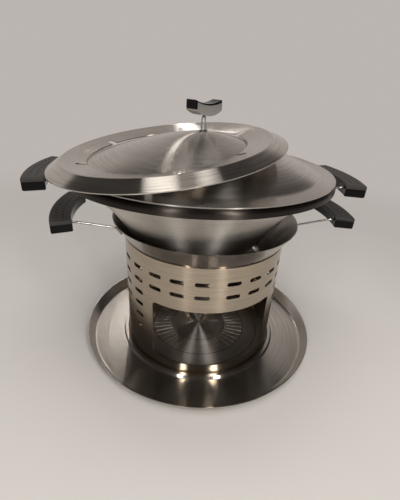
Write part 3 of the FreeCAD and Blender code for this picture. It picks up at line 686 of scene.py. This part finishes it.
class WARMER_OT_fork_ring(bpy.types.Operator):
    """Finish the notched fork ring, whose brush lines follow its lean"""
    bl_idname = "warmer.fork_ring"
    bl_label = "Fork ring"

    def execute(self, context):
        steel = context.scene.warmer_steel
        lean_axis = Vector((-math.sin(steel.ring_heading), math.cos(steel.ring_heading), 0))
        lean = Matrix.Rotation(steel.ring_tilt, 3, lean_axis).to_euler()
        dress("fork_ring", spun_steel(
            "ring_steel", steel, tuple(middle("fork_ring")), tilt=tuple(lean), wear=steel.ring_wear))
        return {"FINISHED"}


class WARMER_OT_wires(bpy.types.Operator):
    """Finish the handle wires of both pans"""
    bl_idname = "warmer.wires"
    bl_label = "Handle wires"

    def execute(self, context):
        wire = bright_wire("handle_wire", context.scene.warmer_steel.wire_tone)
        for pan in PANS:
            for side in SIDE_SIGN:
                dress(f"{pan}_{side}_wire", wire)
        return {"FINISHED"}


class WARMER_OT_grips(bpy.types.Operator):
    """Finish the side grips and press the dimples into their tops"""
    bl_idname = "warmer.grips"
    bl_label = "Side grips"

    def execute(self, context):
        grips = context.scene.warmer_grips
        matte = matte_moulding("grip_matte", grips.matte)
        gloss = gloss_moulding("grip_gloss", grips.gloss)
        # The dimples' darker colour is painted shade in the hollows
        hollow = matte_moulding("grip_dimple_painted_shade", scaled(grips.matte, grips.dimple_painted_shade), sheen=0.06)
        group = dimple_group(matte, hollow)
        for pan in PANS:
            for side in SIDE_SIGN:
                dress(f"{pan}_{side}_grip_base", gloss)
                self.press_top(grips, group, pan, side)
        return {"FINISHED"}

    def press_top(self, grips, group, pan, side):
        """Put a dimpled copy in the place of a grip's plain top."""
        node = f"{pan}_{side}_grip_top"
        piece = new_object(f"{node}_dimpled", merged_copy(node, node))
        turn = grips.upper_turn if pan == "upper" else 0.0
        axis = Vector(axis_of(f"{pan}_pan"))
        heading = Vector((math.cos(turn), math.sin(turn), 0)) * SIDE_SIGN[side]
        reach = self.outer_reach(node, axis, heading)
        centre = axis + heading * (reach - grips.arc_radius - grips.width)
        centre.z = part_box(node)[1].z + grips.dimple_radius * grips.dimple_lift
        apply_group(piece, group, {
            "Arc Radius": grips.arc_radius + grips.first_row,
            "Row Gap": grips.row_gap,
            "Half Angle": grips.half_angle,
            "Per Row": grips.per_row,
            "Rows": grips.rows,
            "Dimple Radius": grips.dimple_radius,
            "Centre": centre,
            "Turn": turn + (0 if side == "right" else math.pi),
        })
        soften(piece, crisp_angle=math.radians(35))
        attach(piece, f"{pan}_pan")
        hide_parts(node)

    def outer_reach(self, node, axis, heading):
        """Return how far a grip reaches from its pan's axis along a heading."""
        return max((vertex.co - axis).dot(heading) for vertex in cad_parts[node].data.vertices)


class WARMER_OT_screws(bpy.types.Operator):
    """Finish the grip screws"""
    bl_idname = "warmer.screws"
    bl_label = "Grip screws"

    def execute(self, context):
        screw = bright_wire("screw_steel", context.scene.warmer_steel.wire_tone)
        for pan in PANS:
            dress(f"{pan}_grip_screws", screw)
        return {"FINISHED"}


class WARMER_OT_knob(bpy.types.Operator):
    """Finish the knob, its strap, stem and feet"""
    bl_idname = "warmer.knob"
    bl_label = "Lid knob"

    def execute(self, context):
        steel = context.scene.warmer_steel
        grips = context.scene.warmer_grips
        dress("knob_grip", gloss_moulding("knob_gloss", grips.gloss))
        dress("knob_saddle", bright_wire("knob_strap_steel", steel.strap_tone))
        dress("knob_wire", bright_wire("knob_stem_steel", steel.wire_tone))
        dress("knob_feet", matte_moulding("knob_foot_rubber", grips.matte))
        return {"FINISHED"}


class WARMER_OT_stage(bpy.types.Operator):
    """Set the pale floor, the lights and the camera"""
    bl_idname = "warmer.stage"
    bl_label = "Studio stage"

    def execute(self, context):
        context.scene.view_settings.view_transform = "Standard"
        stage = context.scene.warmer_stage
        self.lay_floor(stage)
        self.light_world(context, stage)
        self.hang_lights(stage)
        self.set_camera(context, stage)
        return {"FINISHED"}

    def lay_floor(self, stage):
        """Lay a wide pale floor that fades into the background."""
        material, graph, place = material_graph("floor_pale")
        cloud = graph.noise(place, scale=9.0, detail=3.0)
        cloud_shade = 0.96
        cloud_bite = 0.06
        dullness = 0.40
        surface = graph.field("ShaderNodeBsdfPrincipled", None, {
            "Base Color": graph.blend(cloud, opaque(stage.floor), opaque(scaled(stage.floor, cloud_shade))),
            "Roughness": cloud * cloud_bite + dullness,
            "Specular IOR Level": 0.25,
        })
        fade_start = 0.35
        fade_end = 1.1
        far = graph.field("ShaderNodeEmission", None, {"Color": opaque(stage.background)})
        distance = graph.field("ShaderNodeVectorMath", {"operation": "LENGTH"}, {0: place}, output="Value")
        fade = smooth_step(distance, fade_start, fade_end)
        mixed = graph.field("ShaderNodeMixShader", None, {0: fade, 1: surface, 2: far})
        graph.node("ShaderNodeOutputMaterial", None, {"Surface": mixed})
        mesh = bpy.data.meshes.new("floor")
        half = 6.0
        level = -0.3 * MILLIMETRE
        corners = [(-half, -half, level), (half, -half, level), (half, half, level), (-half, half, level)]
        mesh.from_pydata(corners, [], [(0, 1, 2, 3)])
        mesh.materials.append(material)
        new_object("floor", mesh)

    def light_world(self, context, stage):
        """Show one plain colour behind the object, and light it from a pale wall there and a dim room."""
        world = bpy.data.worlds.new("studio")
        world.use_nodes = True
        context.scene.world = world
        graph = Graph(world.node_tree)
        wall = self.wall_mask(graph, stage)
        path = graph.node("ShaderNodeLightPath").outputs
        straight = Field(graph, path["Is Camera Ray"]) + Field(graph, path["Is Transmission Ray"])
        mirrored = Field(graph, path["Is Glossy Ray"]) * wall
        room = graph.blend(wall, opaque(stage.room), opaque(stage.background))
        colour = graph.blend(straight + mirrored, room, opaque(stage.background))
        light = graph.field("ShaderNodeBackground", None, {"Color": colour, "Strength": 1.0})
        graph.node("ShaderNodeOutputWorld", None, {"Surface": light})

    def wall_mask(self, graph, stage):
        """Return a mask of the directions of the pale wall, whose top falls to both sides."""
        right, back, up = graph.split(graph.field("ShaderNodeTexCoord", output="Generated"))
        aside = right * math.cos(stage.yaw) - back * math.sin(stage.yaw)
        right_start = 0.28
        right_fall = 1.45
        left_start = -0.3
        left_fall = 0.6
        fall = graph.maths("MAXIMUM", (aside - right_start) * right_fall, (aside - left_start) * -left_fall)
        height = up + graph.maths("MAXIMUM", fall, 0.0)
        room_side = -0.2
        wall_side = 0.5
        above_wall = 0.73
        wall_top = 0.64
        return smooth_step(back, room_side, wall_side) * smooth_step(height, above_wall, wall_top)

    def hang_lights(self, stage):
        """Hang the softboxes, the window and the ceiling lamps."""
        self.hang_light(stage, "left_softbox", place=(-0.571, -0.998, 0.80), size=(0.11, 1.15), power=6.0)
        self.hang_light(stage, "right_softbox", place=(0.33, -1.10, 0.80), size=(0.13, 1.15), power=8.5)
        self.hang_light(stage, "back_window", place=(-0.05, 1.28, 1.08), size=(0.045, 0.07), power=0.20)
        self.hang_light(stage, "left_ceiling_lamp", place=(-0.39, 0.33, 1.74), size=(0.20, 0.45), power=0.8)
        self.hang_light(stage, "right_ceiling_lamp", place=(0.16, 0.37, 1.755), size=(0.16, 0.45), power=0.25)
        self.hang_light(stage, "ceiling_panel", place=(-0.10, 0.34, 1.80), size=(0.9, 0.6), power=0.7)
        # The fill lights the floor and the mouldings, and stays out of the steel's reflections
        fill = self.hang_light(stage, "soft_fill", place=(0.0, -0.2, 2.2), size=(2.0, 2.0), power=30.0)
        fill.visible_glossy = False

    def hang_light(self, stage, name, place, size, power):
        """Hang one rectangular lamp that faces the object, and return it."""
        lamp = bpy.data.lights.new(name, "AREA")
        lamp.shape = "RECTANGLE"
        lamp.size, lamp.size_y = size
        lamp.energy = power
        lamp.color = stage.lamp_colour
        holder = bpy.data.objects.new(name, lamp)
        bpy.context.scene.collection.objects.link(holder)
        aim = Vector((0, 0, stage.aim_height)) - Vector(place)
        holder.location = place
        holder.rotation_euler = aim.to_track_quat("-Z", "Y").to_euler()
        return holder

    def set_camera(self, context, stage):
        """Stand the camera where the photograph was taken."""
        flat = math.cos(stage.pitch)
        forward = Vector((math.sin(stage.yaw) * flat, math.cos(stage.yaw) * flat, math.sin(stage.pitch)))
        level = Vector((math.cos(stage.yaw), -math.sin(stage.yaw), 0))
        upright = level.cross(forward)
        right = level * math.cos(stage.roll) + upright * math.sin(stage.roll)
        up = upright * math.cos(stage.roll) - level * math.sin(stage.roll)
        lens = bpy.data.cameras.new("camera")
        lens.sensor_fit = "VERTICAL"
        lens.sensor_height = 36.0
        lens.lens = stage.lens
        lens.clip_start = 0.01
        camera = bpy.data.objects.new("camera", lens)
        pose = Matrix((right, up, -forward)).transposed().to_4x4()
        pose.translation = stage.eye
        camera.matrix_world = pose
        context.scene.collection.objects.link(camera)
        context.scene.camera = camera


class WARMER_PT_steps(bpy.types.Panel):
    """Lists the steps that dress the warmer"""
    bl_idname = "WARMER_PT_steps"
    bl_label = "Food warmer"
    bl_space_type = "VIEW_3D"
    bl_region_type = "UI"
    bl_category = "Warmer"

    def draw(self, context):
        for step in STEPS:
            self.layout.operator(step.bl_idname)


GROUPS = {
    "warmer_steel": WarmerSteel,
    "warmer_grips": WarmerGrips,
    "warmer_stage": WarmerStage,
}
STEPS = (
    WARMER_OT_tray, WARMER_OT_stand, WARMER_OT_pans, WARMER_OT_lid, WARMER_OT_fork_ring,
    WARMER_OT_wires, WARMER_OT_grips, WARMER_OT_screws, WARMER_OT_knob, WARMER_OT_stage,
)


def register():
    """Add the property groups, the steps and the panel."""
    for name, group in GROUPS.items():
        bpy.utils.register_class(group)
        setattr(bpy.types.Scene, name, PointerProperty(type=group))
    for step in STEPS:
        bpy.utils.register_class(step)
    bpy.utils.register_class(WARMER_PT_steps)


def unregister():
    """Take the panel, the steps and the property groups out again."""
    bpy.utils.unregister_class(WARMER_PT_steps)
    for step in reversed(STEPS):
        bpy.utils.unregister_class(step)
    for name, group in reversed(GROUPS.items()):
        delattr(bpy.types.Scene, name)
        bpy.utils.unregister_class(group)


def main():
    """Dress the whole warmer."""
    register()
    bpy.ops.warmer.tray()
    bpy.ops.warmer.stand()
    bpy.ops.warmer.pans()
    bpy.ops.warmer.lid()
    bpy.ops.warmer.fork_ring()
    bpy.ops.warmer.wires()
    bpy.ops.warmer.grips()
    bpy.ops.warmer.screws()
    bpy.ops.warmer.knob()
    bpy.ops.warmer.stage()


if __name__ == "__main__":
    main()
